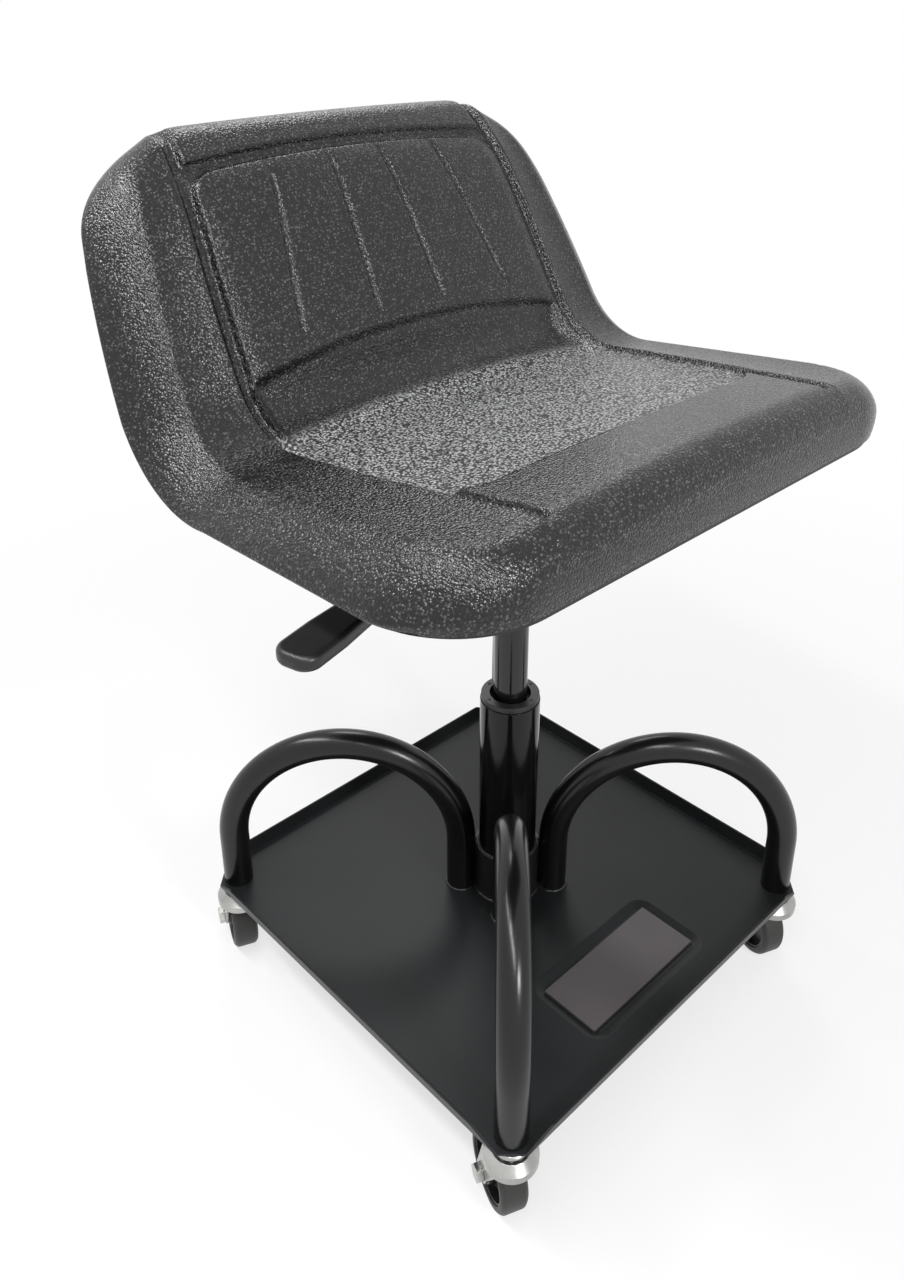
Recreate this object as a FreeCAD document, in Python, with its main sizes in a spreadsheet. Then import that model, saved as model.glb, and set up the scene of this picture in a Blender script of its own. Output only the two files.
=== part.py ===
"""Mechanic's creeper seat: a tractor-style seat on a gas lift, over a tool tray on four swivel casters.

The frame stands on the floor under the swivel axis: +Z is up, the sitter faces -Y and has -X on the right.
All lengths are in millimetres and all angles in degrees.
"""
import FreeCAD, Part
import math
import os
import re

import Sketcher

V = FreeCAD.Vector
ORIGIN = V(0, 0, 0)
UP = V(0, 0, 1)

doc = FreeCAD.newDocument("creeper_seat")
sheet = doc.addObject("Spreadsheet::Sheet", "Sizes")
ALIASES = []
PARTS = []


# Sizes

def size(alias, number):
    """Write one driving dimension to the sheet and give it its alias."""
    ALIASES.append(alias)
    cell = "A%d" % len(ALIASES)
    sheet.set(cell, str(number))
    sheet.setAlias(cell, alias)
    doc.recompute([sheet])
    return float(number)


def bound(text):
    """Turn a formula in sheet names into the text that an expression takes."""
    return re.sub(r"[a-z_]{3,}", lambda word: "Sizes." + word[0] if word[0] in ALIASES else word[0], text)


def worked(text):
    """The present value of a formula in sheet names."""
    result = sheet.evalExpression(bound(text).replace("Sizes.", ""))
    return float(getattr(result, "Value", result))


# Pieces made of primitives, sketches and booleans

def bind(thing, **formulas):
    for name, formula in formulas.items():
        thing.setExpression(name, bound(formula))
    return thing


def place(thing, at=("0", "0", "0"), turn=None):
    """Seat an object at a point given in sheet names, turned by (axis, degrees) when asked."""
    if turn:
        thing.Placement = FreeCAD.Placement(ORIGIN, FreeCAD.Rotation(turn[0], turn[1]))
    for axis, formula in zip("xyz", at):
        thing.setExpression("Placement.Base." + axis, bound(formula))
    return thing


def cylinder(name, radius, height, at=("0", "0", "0"), turn=None):
    solid = doc.addObject("Part::Cylinder", name)
    bind(solid, Radius=radius, Height=height)
    return place(solid, at, turn)


def box(name, length, width, height, at=("0", "0", "0"), turn=None):
    """A box whose own corner lies at the given point."""
    solid = doc.addObject("Part::Box", name)
    bind(solid, Length=length, Width=width, Height=height)
    return place(solid, at, turn)


def block(name, length, width, height, centre):
    """A box centred on X and Y over a point, with its foot at that point's height."""
    corner = ("%s - (%s)/2" % (centre[0], length), "%s - (%s)/2" % (centre[1], width), centre[2])
    return box(name, length, width, height, corner)


def hexagon(name, across_flats, height, at=("0", "0", "0"), turn=None):
    solid = doc.addObject("Part::Prism", name)
    solid.Polygon = 6
    bind(solid, Circumradius="(%s) / sqrt(3)" % across_flats, Height=height)
    return place(solid, at, turn)


def fuse(name, *solids):
    joined = doc.addObject("Part::MultiFuse", name)
    joined.Shapes = list(solids)
    return joined


def cut(name, base, *tools):
    result = doc.addObject("Part::Cut", name)
    result.Base = base
    result.Tool = tools[0] if len(tools) == 1 else fuse(name + "_tools", *tools)
    return result


def group(name, *solids):
    together = doc.addObject("Part::Compound", name)
    together.Links = list(solids)
    return together


def carried(name, turn, reach, heading, *solids):
    """Pieces drawn about the Z axis, turned about it and then carried out along a heading (degrees)."""
    together = group(name, *solids)
    together.Placement = FreeCAD.Placement(ORIGIN, FreeCAD.Rotation(UP, turn))
    bind(together, **{"Placement.Base.x": "(%s) * cos(%s deg)" % (reach, heading),
                      "Placement.Base.y": "(%s) * sin(%s deg)" % (reach, heading)})
    return together


def plane_of(body, role):
    return [feature for feature in body.Origin.OriginFeatures if feature.Role == role][0]


def outline(body, role, corners, name="Outline"):
    """A closed, fully bound sketch through corners written in sheet names."""
    sketch = body.newObject("Sketcher::SketchObject", name)
    sketch.AttachmentSupport = [(plane_of(body, role), "")]
    sketch.MapMode = "FlatFace"
    spots = [(worked(across), worked(along)) for across, along in corners]
    count = len(spots)
    for index in range(count):
        start, end = spots[index], spots[(index + 1) % count]
        sketch.addGeometry(Part.LineSegment(V(start[0], start[1], 0), V(end[0], end[1], 0)), False)
    for index in range(count):
        sketch.addConstraint(Sketcher.Constraint("Coincident", index, 2, (index + 1) % count, 1))
    for index, (across, along) in enumerate(corners):
        for kind, formula, spot in (("DistanceX", across, spots[index][0]), ("DistanceY", along, spots[index][1])):
            rule = sketch.addConstraint(Sketcher.Constraint(kind, -1, 1, index, 1, spot))
            sketch.setExpression("Constraints[%d]" % rule, bound(formula))
    return sketch


def turned(name, corners, at=("0", "0", "0"), turn=None):
    """A body turned about its Z axis from an outline of (radius, height) corners."""
    body = doc.addObject("PartDesign::Body", name)
    sketch = outline(body, "XZ_Plane", corners)
    spin = body.newObject("PartDesign::Revolution", "Turned")
    spin.Profile = sketch
    spin.ReferenceAxis = (sketch, ["V_Axis"])
    spin.Angle = 360
    body.Tip = spin
    return place(body, at, turn)


def padded(name, role, corners, length, at=("0", "0", "0"), turn=None):
    """A body padded evenly to both sides of its sketch plane."""
    body = doc.addObject("PartDesign::Body", name)
    sketch = outline(body, role, corners)
    pad = body.newObject("PartDesign::Pad", "Padded")
    pad.Profile = sketch
    pad.SideType = "Symmetric"
    bind(pad, Length=length)
    body.Tip = pad
    return place(body, at, turn)


def feature(name, shape):
    """A piece whose shape is made in code from the sheet's sizes."""
    made = doc.addObject("Part::Feature", name)
    made.Shape = shape
    return made


def keep(label, thing):
    """Mark an object as a finished piece of the seat; its label names its file."""
    thing.Label = label
    PARTS.append(thing)
    return thing


# Shared clearances and cutting allowances
size("slip", 0.05)             # running clearance on a radius
size("snug", 0.1)              # gap of pieces pushed together
size("play", 0.3)              # gap of pieces that pass each other
size("overrun", 5)             # how far a cutting tool passes the face that it cuts

# Casters: ride height, wheel and trail
size("wheel_radius", 31.5)
size("wheel_width", 22)
size("wheel_trail", 19)
size("ride_height", 90)        # floor to the top of the tray's sheet

# Tray
size("tray_half", 189.5)
size("tray_sheet", 2)
size("rim_height", 12)
size("rim_flare", 3.5)
size("corner_cut", 16)
size("corner_mitre", 14)
size("stem_radius", 5)

# Column and hub
size("column_radius", 25)
size("column_wall", 1.5)
size("column_top", 290)
size("column_foot", 80)
size("foot_plate", 3)
size("hub_wall", 2.9)
size("hub_height", 48)

# Hoops of one inch tube, and their reach along the tray's diagonals
size("hoop_tube_radius", 12.7)
size("hoop_wall", 1.6)
size("hoop_reach", 241.8)
size("hoop_rise", 150)

CORNERS = {"front_left": -45, "rear_left": 45, "rear_right": 135, "front_right": 225}


# Tray: one folded sheet with a flared rim, clipped corners and a pressed magnet recess

size("recess_length", 128)     # the recess's floor, inside its sloping walls
size("recess_width", 58)
size("recess_depth", 3)
size("recess_corner", 7)
size("recess_slope", 8)        # how far the pressed walls spread on their way up
size("recess_centre", -131)
size("magnet_length", 127)
size("magnet_width", 52)
size("magnet_thickness", 2.6)


def frustum(name, low, high, low_half, high_half):
    """A square frustum about Z, between two heights."""
    solid = doc.addObject("Part::Wedge", name)
    bind(solid, Ymin=low, Ymax=high)
    bind(solid, Xmin="-(%s)" % low_half, Xmax=low_half, Zmin="-(%s)" % low_half, Zmax=low_half)
    bind(solid, X2min="-(%s)" % high_half, X2max=high_half, Z2min="-(%s)" % high_half, Z2max=high_half)
    solid.Placement = FreeCAD.Placement(ORIGIN, FreeCAD.Rotation(V(1, 0, 0), 90))
    return solid


def rounded_wire(half_x, half_y, radius, level):
    """A level rectangle with rounded corners, centred on the recess."""
    middle = worked("recess_centre")
    arcs = []
    for index, (x, y) in enumerate(((1, 1), (-1, 1), (-1, -1), (1, -1))):
        centre = V(x * (half_x - radius), middle + y * (half_y - radius), level)
        arcs.append(Part.makeCircle(radius, centre, UP, index * 90, index * 90 + 90))
    edges = []
    for index, arc in enumerate(arcs):
        edges += [arc, Part.makeLine(arc.Vertexes[-1].Point, arcs[(index + 1) % len(arcs)].Vertexes[0].Point)]
    return Part.Wire(edges)


def pressing(name, foot, rise):
    """What the press pushes down: a round-cornered form whose walls spread upwards from its foot."""
    wires = []
    for height in (0, rise):
        spread = worked("recess_slope / recess_depth") * height
        wires.append(rounded_wire(worked("recess_length / 2") + spread, worked("recess_width / 2") + spread,
                                  worked("recess_corner") + spread, foot + height))
    return feature(name, Part.makeLoft(wires, True, True))


def make_tray():
    slope = "rim_flare / (rim_height + tray_sheet)"
    outer = frustum("TrayOuter", "ride_height - tray_sheet", "ride_height + rim_height",
                    "tray_half", "tray_half + rim_flare")
    inner = frustum("TrayInner", "ride_height", "ride_height + rim_height + overrun",
                    "tray_half - tray_sheet + tray_sheet * " + slope,
                    "tray_half - tray_sheet + (tray_sheet + rim_height + overrun) * " + slope)
    tub = cut("TrayTub", outer, inner)
    below = pressing("RecessBelow", worked("ride_height - recess_depth - tray_sheet"), worked("recess_depth + tray_sheet/2"))
    pocket = pressing("RecessPocket", worked("ride_height - recess_depth"), worked("recess_depth + overrun"))
    column_hole = cylinder("TrayColumnHole", "column_radius + snug", "tray_sheet + 2*overrun",
                           ("0", "0", "ride_height - tray_sheet - overrun"))
    tools = [pocket, column_hole]
    chamfer = "tray_half*sqrt(2) - corner_cut/sqrt(2)"
    lean = math.degrees(math.atan2(worked("corner_mitre"), worked("rim_height")))
    for name, angle in CORNERS.items():
        clip = box("Clip_" + name, "4*corner_cut", "8*corner_cut", "2*ride_height", (chamfer, "-4*corner_cut", "0"))
        mitre = box("Mitre_" + name, "4*corner_cut", "8*corner_cut", "4*rim_height",
                    (chamfer, "-4*corner_cut", "ride_height"), (V(0, 1, 0), -lean))
        stem_hole = cylinder("StemHole_" + name, "stem_radius + snug", "tray_sheet + 2*overrun",
                             ("hoop_reach", "0", "ride_height - tray_sheet - overrun"))
        tools.append(carried("CornerTools_" + name, angle, "0", angle, fuse("CornerCuts_" + name, clip, mitre, stem_hole)))
    keep("tray", cut("Tray", fuse("TrayPressed", tub, below), *tools))


def make_magnet():
    keep("magnet_pad", block("MagnetSlab", "magnet_length", "magnet_width", "magnet_thickness",
                             ("0", "recess_centre", "ride_height - recess_depth")))


make_tray()
make_magnet()


# Hub sleeve and the gas lift's fixed outer column

def make_column():
    keep("hub_sleeve", turned("HubSleeve", [
        ("column_radius + snug", "ride_height"),
        ("column_radius + snug + hub_wall", "ride_height"),
        ("column_radius + snug + hub_wall", "ride_height + hub_height"),
        ("column_radius + snug", "ride_height + hub_height")]))
    keep("outer_column", turned("OuterColumn", [
        ("piston_rod_radius + play", "column_foot"),
        ("column_radius", "column_foot"),
        ("column_radius", "column_top"),
        ("column_radius - column_wall", "column_top"),
        ("column_radius - column_wall", "column_foot + foot_plate"),
        ("piston_rod_radius + play", "column_foot + foot_plate")]))
    keep("guide_bushing", turned("GuideBushing", [
        ("lift_tube_radius + slip", "column_top - guide_length"),
        ("column_radius - column_wall - slip", "column_top - guide_length"),
        ("column_radius - column_wall - slip", "column_top"),
        ("column_radius - guide_lip_step", "column_top"),
        ("column_radius - guide_lip_step", "column_top + guide_lip"),
        ("lift_tube_radius + guide_well", "column_top + guide_lip"),
        ("lift_tube_radius + guide_well", "column_top - guide_lip/2"),
        ("lift_tube_radius + slip", "column_top - guide_lip/2")]))


# Gas lift: the piston rod turns on a thrust bearing, and the lift tube slides on it
size("piston_rod_radius", 5)
size("lift_tube_radius", 14)
size("lift_tube_wall", 1.8)
size("lift_tube_length", 239)
size("lift_tube_foot", 225)
size("lift_plug", 18)
size("cone_length", 46)
size("cone_drop", 1.2)         # how much the cone narrows on its radius
size("guide_length", 68)
size("guide_lip", 5)
size("guide_lip_step", 0.8)
size("guide_well", 3)
size("rod_guide_length", 12)
size("piston_length", 10)
size("piston_gap", 4)
size("race_thickness", 1.5)
size("race_radius", 11)
size("thrust_ball_radius", 1.75)
size("rod_collar_radius", 8)
size("rod_collar_height", 3)
size("clip_thickness", 1.5)
size("clip_radius", 9)
size("groove_depth", 1)
THRUST_BALLS = 12

make_column()


def ring_of_balls(name, count, ball, circle, height, centre=("0", "0")):
    balls = []
    for index in range(count):
        share = "(%s) * %s(%s deg)"
        turn = index * 360.0 / count
        solid = doc.addObject("Part::Sphere", "%s_%d" % (name, index))
        bind(solid, Radius=ball)
        across = centre[0] + " + " + share % (circle, "cos", turn)
        along = centre[1] + " + " + share % (circle, "sin", turn)
        balls.append(place(solid, (across, along, height)))
    return balls


def make_gas_lift():
    floor = "column_foot + foot_plate"
    track = "(race_radius + piston_rod_radius) / 2"
    keep("lower_thrust_race", turned("LowerRace", [
        ("piston_rod_radius + play", floor),
        ("race_radius", floor),
        ("race_radius", floor + " + race_thickness"),
        ("piston_rod_radius + play", floor + " + race_thickness")]))
    balls = ring_of_balls("ThrustBall", THRUST_BALLS, "thrust_ball_radius - slip/2", track,
                          floor + " + race_thickness + thrust_ball_radius")
    keep("thrust_balls", group("ThrustBalls", *balls))
    upper = floor + " + race_thickness + 2*thrust_ball_radius"
    keep("upper_thrust_race", turned("UpperRace", [
        ("piston_rod_radius", upper),
        ("race_radius", upper),
        ("race_radius", upper + " + race_thickness"),
        ("piston_rod_radius", upper + " + race_thickness")]))
    collar = upper + " + race_thickness"
    piston_foot = "lift_tube_foot + rod_guide_length + piston_gap"
    keep("piston_rod", turned("PistonRod", [
        ("0", "column_foot - play - 2*clip_thickness"),
        ("piston_rod_radius", "column_foot - play - 2*clip_thickness"),
        ("piston_rod_radius", "column_foot - play - clip_thickness"),
        ("piston_rod_radius - groove_depth", "column_foot - play - clip_thickness"),
        ("piston_rod_radius - groove_depth", "column_foot - play"),
        ("piston_rod_radius", "column_foot - play"),
        ("piston_rod_radius", collar),
        ("rod_collar_radius", collar),
        ("rod_collar_radius", collar + " + rod_collar_height"),
        ("piston_rod_radius", collar + " + rod_collar_height"),
        ("piston_rod_radius", piston_foot + " + piston_length"),
        ("0", piston_foot + " + piston_length")]))
    keep("rod_clip", turned("RodClip", [
        ("piston_rod_radius - groove_depth", "column_foot - play - clip_thickness"),
        ("clip_radius", "column_foot - play - clip_thickness"),
        ("clip_radius", "column_foot - play"),
        ("piston_rod_radius - groove_depth", "column_foot - play")]))
    bore = "lift_tube_radius - lift_tube_wall"
    keep("piston", turned("Piston", [
        ("piston_rod_radius", piston_foot),
        (bore + " - slip", piston_foot),
        (bore + " - slip", piston_foot + " + piston_length"),
        ("piston_rod_radius", piston_foot + " + piston_length")]))
    top = "lift_tube_foot + lift_tube_length"
    keep("lift_tube", turned("LiftTube", [
        (bore, "lift_tube_foot"),
        ("lift_tube_radius", "lift_tube_foot"),
        ("lift_tube_radius", top + " - cone_length"),
        ("lift_tube_radius - cone_drop", top),
        ("pin_radius + slip", top),
        ("pin_radius + slip", top + " - lift_plug"),
        (bore, top + " - lift_plug")]))
    keep("rod_guide", turned("RodGuide", [
        ("piston_rod_radius + slip", "lift_tube_foot"),
        (bore, "lift_tube_foot"),
        (bore, "lift_tube_foot + rod_guide_length"),
        ("piston_rod_radius + slip", "lift_tube_foot + rod_guide_length")]))
    keep("release_pin", turned("ReleasePin", [
        ("0", top + " - lift_plug - pin_head"),
        ("pin_head_radius", top + " - lift_plug - pin_head"),
        ("pin_head_radius", top + " - lift_plug"),
        ("pin_radius", top + " - lift_plug"),
        ("pin_radius", top + " + pin_stand - pin_point"),
        ("pin_radius - pin_point", top + " + pin_stand"),
        ("0", top + " + pin_stand")]))


# Release pin in the head of the lift tube
size("pin_radius", 3.1)
size("pin_point", 1)
size("pin_head", 3)
size("pin_head_radius", 6)
size("pin_stand", 7)

make_gas_lift()


# Hoops: four inverted U tubes from the hub to the corners, with a threaded plug in each outer foot

size("plug_length", 25)


def make_hoop(name, angle):
    inner_foot = "column_radius + snug + hub_wall + hoop_tube_radius"
    bend = "(hoop_reach - (%s)) / 2" % inner_foot
    middle = "(hoop_reach + (%s)) / 2" % inner_foot
    spring_line = "ride_height + hoop_rise - " + bend
    shapes = {}
    for kind, radius, extra in (("Outer", "hoop_tube_radius", "0"), ("Bore", "hoop_tube_radius - hoop_wall", "overrun")):
        arch = doc.addObject("Part::Torus", "Arch%s_%s" % (kind, name))
        bind(arch, Radius1=bend, Radius2=radius)
        arch.Angle3 = 180
        place(arch, (middle, "0", spring_line), (V(1, 0, 0), 90))
        legs = []
        for side, across in (("In", inner_foot), ("Out", "hoop_reach")):
            legs.append(cylinder("Leg%s%s_%s" % (side, kind, name), radius, "%s - ride_height + %s" % (spring_line, extra),
                                 (across, "0", "ride_height - " + extra)))
        shapes[kind] = fuse("Hoop%s_%s" % (kind, name), arch, *legs)
    keep("hoop_" + name, carried("HoopSet_" + name, angle, "0", angle, cut("Hoop_" + name, shapes["Outer"], shapes["Bore"])))


def make_hoop_plugs():
    plugs = []
    for name, angle in CORNERS.items():
        plug = turned("Plug_" + name, [
            ("stem_radius", "ride_height"),
            ("hoop_tube_radius - hoop_wall", "ride_height"),
            ("hoop_tube_radius - hoop_wall", "ride_height + plug_length"),
            ("stem_radius", "ride_height + plug_length")])
        plugs.append(carried("PlugSet_" + name, angle, "hoop_reach", angle, plug))
    keep("hoop_plugs", group("HoopPlugs", *plugs))


for corner, direction in CORNERS.items():
    make_hoop(corner, direction)
make_hoop_plugs()


# Casters: threaded stem and upper cup fixed to the tray, fork and wheel turning below

size("hex_flats", 17)
size("hex_height", 4)
size("cup_radius", 14)
size("cup_height", 3)
size("king_length", 11)
size("king_head_radius", 8)
size("king_head", 2.5)
size("crown_radius", 20.5)
size("crown_height", 12)
size("crown_top_radius", 14.5)
size("fork_sheet", 2)
size("caster_ball_radius", 1.5)
size("caster_ball_circle", 10.5)
size("leg_half_width", 15)
size("boss_radius", 8.5)
size("leg_gap", 26)
size("axle_radius", 4)
size("axle_head_flats", 13)
size("axle_head", 5)
size("axle_sleeve_wall", 1.5)
size("wheel_hub_radius", 11)
size("wheel_web", 5)
size("tyre_depth", 7)
size("tyre_shoulder", 3)
size("caster_turn", 67)
CASTER_BALLS = 10

UNDERSIDE = "ride_height - tray_sheet"
CUP_FOOT = UNDERSIDE + " - hex_height - cup_height"
CROWN_TOP = CUP_FOOT + " - 2*caster_ball_radius"


def make_caster_tops():
    stems, cups, balls = [], [], []
    foot = "%s - king_length" % CUP_FOOT
    for name, angle in CORNERS.items():
        stem = turned("Stem_" + name, [
            ("0", foot),
            ("king_head_radius", foot),
            ("king_head_radius", foot + " + king_head"),
            ("stem_radius", foot + " + king_head"),
            ("stem_radius", "ride_height + plug_length"),
            ("0", "ride_height + plug_length")])
        nut = hexagon("StemHex_" + name, "hex_flats", "hex_height", ("0", "0", UNDERSIDE + " - hex_height"))
        stems.append(carried("StemSet_" + name, angle, "hoop_reach", angle, fuse("StemWhole_" + name, stem, nut)))
        cup = turned("Cup_" + name, [
            ("stem_radius", CUP_FOOT),
            ("cup_radius", CUP_FOOT),
            ("cup_radius", CUP_FOOT + " + cup_height/2"),
            ("cup_radius - cup_height/2", CUP_FOOT + " + cup_height"),
            ("stem_radius", CUP_FOOT + " + cup_height")])
        cups.append(carried("CupSet_" + name, angle, "hoop_reach", angle, cup))
        circle = ring_of_balls("CasterBall_" + name, CASTER_BALLS, "caster_ball_radius - slip", "caster_ball_circle",
                               CUP_FOOT + " - caster_ball_radius")
        balls.append(carried("BallSet_" + name, angle, "hoop_reach", angle, *circle))
    keep("caster_stems", group("CasterStems", *stems))
    keep("caster_cups", group("CasterCups", *cups))
    keep("caster_balls", group("CasterBalls", *balls))


def make_caster(name, angle):
    """One fork with its axle and wheel, trailing towards local +X."""
    crown = turned("Crown_" + name, [
        ("stem_radius + play", CROWN_TOP + " - fork_sheet"),
        ("stem_radius + play", CROWN_TOP),
        ("crown_top_radius", CROWN_TOP),
        ("crown_radius", CROWN_TOP + " - crown_height/2"),
        ("crown_radius", CROWN_TOP + " - crown_height"),
        ("crown_radius - fork_sheet", CROWN_TOP + " - crown_height"),
        ("crown_radius - fork_sheet", CROWN_TOP + " - crown_height/2"),
        ("crown_top_radius - fork_sheet", CROWN_TOP + " - fork_sheet")])
    legs = padded("Legs_" + name, "XZ_Plane", [
        ("-leg_half_width", CROWN_TOP + " - crown_height/2"),
        ("leg_half_width", CROWN_TOP + " - crown_height/2"),
        ("wheel_trail + boss_radius", "wheel_radius"),
        ("wheel_trail - boss_radius", "wheel_radius")], "leg_gap + 2*fork_sheet")
    boss = cylinder("Boss_" + name, "boss_radius", "leg_gap + 2*fork_sheet",
                    ("wheel_trail", "leg_gap/2 + fork_sheet", "wheel_radius"), (V(1, 0, 0), 90))
    inside = block("ForkInside_" + name, "8*leg_half_width", "leg_gap", CROWN_TOP + " - fork_sheet",
                   ("0", "0", "0"))
    prongs = cut("Prongs_" + name, fuse("ForkLegs_" + name, legs, boss), inside)
    bore = cylinder("AxleBore_" + name, "axle_radius", "leg_gap + 2*fork_sheet + 2*overrun",
                    ("wheel_trail", "leg_gap/2 + fork_sheet + overrun", "wheel_radius"), (V(1, 0, 0), 90))
    fork = cut("Fork_" + name, fuse("ForkWhole_" + name, crown, prongs), bore)
    half = "(leg_gap/2 + fork_sheet)"
    shank = cylinder("Shank_" + name, "axle_radius", "leg_gap + 2*fork_sheet + axle_head",
                     ("wheel_trail", half, "wheel_radius"), (V(1, 0, 0), 90))
    head = hexagon("AxleHead_" + name, "axle_head_flats", "axle_head",
                   ("wheel_trail", half + " + axle_head", "wheel_radius"), (V(1, 0, 0), 90))
    bolt = fuse("AxleBolt_" + name, shank, head)
    nut_blank = hexagon("NutBlank_" + name, "axle_head_flats", "axle_head",
                        ("wheel_trail", "-" + half, "wheel_radius"), (V(1, 0, 0), 90))
    nut_hole = cylinder("NutHole_" + name, "axle_radius", "axle_head + 2*overrun",
                        ("wheel_trail", "-%s + overrun" % half, "wheel_radius"), (V(1, 0, 0), 90))
    nut = cut("AxleNut_" + name, nut_blank, nut_hole)
    axle = group("Axle_" + name, bolt, nut)
    sleeve = cut("Sleeve_" + name,
                 cylinder("SleeveOut_" + name, "axle_radius + axle_sleeve_wall", "leg_gap",
                          ("wheel_trail", "leg_gap/2", "wheel_radius"), (V(1, 0, 0), 90)),
                 cylinder("SleeveIn_" + name, "axle_radius", "leg_gap + 2*overrun",
                          ("wheel_trail", "leg_gap/2 + overrun", "wheel_radius"), (V(1, 0, 0), 90)))
    rim = "wheel_radius - tyre_depth"
    seat_of_wheel = ("wheel_trail", "0", "wheel_radius")
    hub = turned("Wheel_" + name, [
        ("axle_radius + axle_sleeve_wall + slip", "-leg_gap/2 + play"),
        ("wheel_hub_radius - axle_sleeve_wall", "-leg_gap/2 + play"),
        ("wheel_hub_radius", "-wheel_web/2"),
        (rim + " - axle_sleeve_wall", "-wheel_web/2"),
        (rim + " - axle_sleeve_wall", "-wheel_width/2 + axle_sleeve_wall"),
        (rim, "-wheel_width/2 + axle_sleeve_wall"),
        (rim, "wheel_width/2 - axle_sleeve_wall"),
        (rim + " - axle_sleeve_wall", "wheel_width/2 - axle_sleeve_wall"),
        (rim + " - axle_sleeve_wall", "wheel_web/2"),
        ("wheel_hub_radius", "wheel_web/2"),
        ("wheel_hub_radius - axle_sleeve_wall", "leg_gap/2 - play"),
        ("axle_radius + axle_sleeve_wall + slip", "leg_gap/2 - play")], seat_of_wheel, (V(1, 0, 0), 90))
    tyre = turned("Tyre_" + name, [
        (rim, "-wheel_width/2"),
        ("wheel_radius - tyre_shoulder", "-wheel_width/2"),
        ("wheel_radius", "-wheel_width/2 + tyre_shoulder"),
        ("wheel_radius", "wheel_width/2 - tyre_shoulder"),
        ("wheel_radius - tyre_shoulder", "wheel_width/2"),
        (rim, "wheel_width/2")], seat_of_wheel, (V(1, 0, 0), 90))
    pieces = (("caster_fork_", fork), ("caster_axle_", axle), ("caster_sleeve_", sleeve),
              ("caster_hub_", hub), ("caster_tyre_", tyre))
    for label, piece in pieces:
        keep(label + name, carried(label + "set_" + name, worked("caster_turn"), "hoop_reach", angle, piece))


make_caster_tops()
for corner, direction in CORNERS.items():
    make_caster(corner, direction)


# Seat: a thick moulded skin over foam on a pressed steel pan, all laid out along one side profile

size("seat_half_width", 244)
size("seat_front_reach", 182)
size("seat_front_height", 571)
size("seat_slope", 6.3)        # degrees that the seat falls towards the back
size("seat_flat", 226.5)       # from the front face to the start of the bend
size("bend_radius", 62)
size("back_slope", 61)         # degrees of the backrest above level
size("back_flat", 105)
size("back_curl_radius", 230)
size("back_curl", 25)          # degrees that the top curls back
size("back_narrowing", 42)
size("front_corner_radius", 73)
size("top_corner_radius", 75)
size("lip_radius", 24)
size("front_depth", 49)
size("middle_depth", 33)
size("back_depth", 39)
size("skin", 5)
size("panel_crown", 3)
size("gutter_line", 147)       # gutters' distance from the middle at the seat's ends
size("gutter_bow", 17)         # and how much further out they run at half way
size("gutter_width", 9)
size("gutter_depth", 3)
size("gutter_edge_gap", 8)     # least room between a gutter and the seat's edge
size("shoulder_fall", 4)
size("shoulder_inset", 34)
size("wall_draw", 3)
size("recess_start", 78)
size("recess_end", 299)
size("recess_arch", 17)
size("panel_recess", 3)
size("channel_run", 456)
size("channel_width", 10)
size("channel_depth", 3)
size("flute_low", 321)
size("flute_high", 447)
size("flute_width", 8)
size("flute_depth", 2.5)
size("flute_inner_low", 33)
size("flute_inner_high", 25)
size("flute_outer_low", 105)
size("flute_outer_high", 81)
size("pan_rise", 6)
size("pan_lip", 4)
size("pan_sheet", 2)
size("section_gap", 7)         # least distance between two sections of a form
size("pad_length", 160)
size("pad_width", 140)
size("plate_top", 510)

END_SHARES = (0.0, 0.08, 0.3, 0.7, 1.4, 2.1)
FLAT_STEPS = 10
BEND_STEPS = 6
BACK_STEPS = 5
CURL_STEPS = 5
ROLL_SHARE = 0.75              # how much of the side below the shoulder is rolled
DISH_SHARE = 0.8               # how much of its fall the dished shoulder has made half way
PLAIN_CREST_SHARE = 0.01       # keeps the gutter's arc an arc where there is no gutter
CHANNEL_SHARES = (-1, -0.5, 0, 0.5, 1)


def bend_length():
    return worked("bend_radius") * math.radians(worked("seat_slope + back_slope"))


def profile_length():
    curl = worked("back_curl_radius") * math.radians(worked("back_curl"))
    return worked("seat_flat + back_flat") + bend_length() + curl


def on_profile(run):
    """Point and slope (radians) of the seat's side profile at a distance from the front face."""
    slope = -math.radians(worked("seat_slope"))
    spot = V(0, -worked("seat_front_reach"), worked("seat_front_height"))
    legs = ((worked("seat_flat"), 0), (bend_length(), 1 / worked("bend_radius")), (worked("back_flat"), 0),
            (profile_length(), -1 / worked("back_curl_radius")))
    for length, curve in legs:
        step = min(run, length)
        if curve:
            centre = spot + V(0, -math.sin(slope), math.cos(slope)) / curve
            slope += curve * step
            spot = centre - V(0, -math.sin(slope), math.cos(slope)) / curve
        else:
            spot = spot + V(0, math.cos(slope), math.sin(slope)) * step
        run -= step
        if run <= 0:
            break
    return spot, slope


def rounding(distance, radius):
    """How much a rounded end has yet to widen at a distance from its tip."""
    if distance >= radius:
        return 0.0
    return radius - math.sqrt(radius ** 2 - (radius - distance) ** 2)


def share_along(run, start, end):
    return min(1.0, max(0.0, (run - start) / (end - start)))


def seat_breadth(run, inset):
    """Half width, fall of the top face and depth of the side wall at a distance along the profile."""
    total = profile_length()
    front, back = run - inset, total - run - inset
    flat = worked("seat_flat")
    half = worked("seat_half_width") - worked("back_narrowing") * share_along(run, flat, total) ** 2
    half -= rounding(front, worked("front_corner_radius") - inset)
    half -= rounding(back, worked("top_corner_radius") - inset)
    lip = worked("lip_radius") - inset
    fall = rounding(front, lip) + rounding(back, lip)
    depth = worked("front_depth") + worked("middle_depth - front_depth") * share_along(run, 0, flat)
    depth += worked("back_depth - middle_depth") * share_along(run, flat, flat + bend_length())
    return half - inset, fall, depth


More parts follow.
